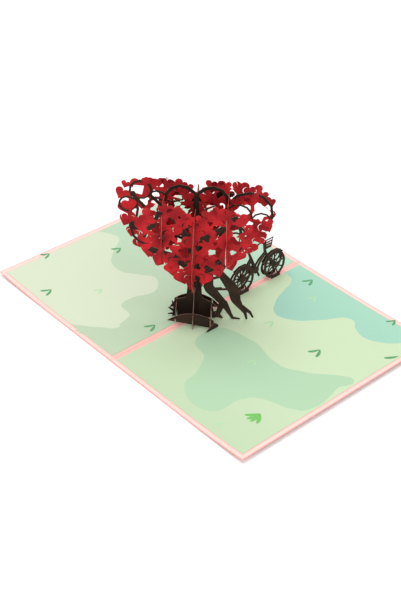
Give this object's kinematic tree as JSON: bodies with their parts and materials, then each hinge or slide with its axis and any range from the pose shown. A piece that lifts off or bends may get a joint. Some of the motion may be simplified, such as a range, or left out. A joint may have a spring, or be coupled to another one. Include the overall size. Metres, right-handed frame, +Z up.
{
  "type": "pop up card",
  "caption": "Opened pop-up card with a tree of red paper hearts on slotted brown slats, a couple and a small bicycle",
  "frame": {"origin": "underside of the cover, in the middle of the fold", "axes": "X across the fold from the left leaf to the right leaf, Y along the fold from front to back, Z up"},
  "size_m": [0.254, 0.178, 0.1105],
  "materials": {
    "pink_card": "matt uncoated card",
    "printed_left": "matt printed paper in pale green fields",
    "printed_right": "matt printed paper in pale green and teal fields",
    "brown_card": "matt dark brown card with laser-cut edges",
    "brown_figures": "matt brown card with laser-cut edges",
    "red_paper": "matt red paper with laser-cut edges"
  },
  "bodies": {
    "root": {"cover": "pink_card", "left_liner": "printed_left", "right_liner": "printed_right", "left_anchor": "brown_card", "right_anchor": "brown_card", "front_mound": "brown_card", "rear_mound": "brown_card", "left_base_arch": "brown_card", "right_base_arch": "brown_card", "middle_slat": "brown_card", "middle_blossom": "red_paper", "front_slat": "brown_card", "front_blossom": "red_paper", "rear_slat": "brown_card", "rear_blossom": "red_paper", "cross_slat": "brown_card", "cross_blossom": "red_paper", "left_cross_slat": "brown_card", "left_cross_blossom": "red_paper", "right_cross_slat": "brown_card", "right_cross_blossom": "red_paper", "couple": "brown_figures", "bicycle": "brown_figures"}
  },
  "joints": []
}
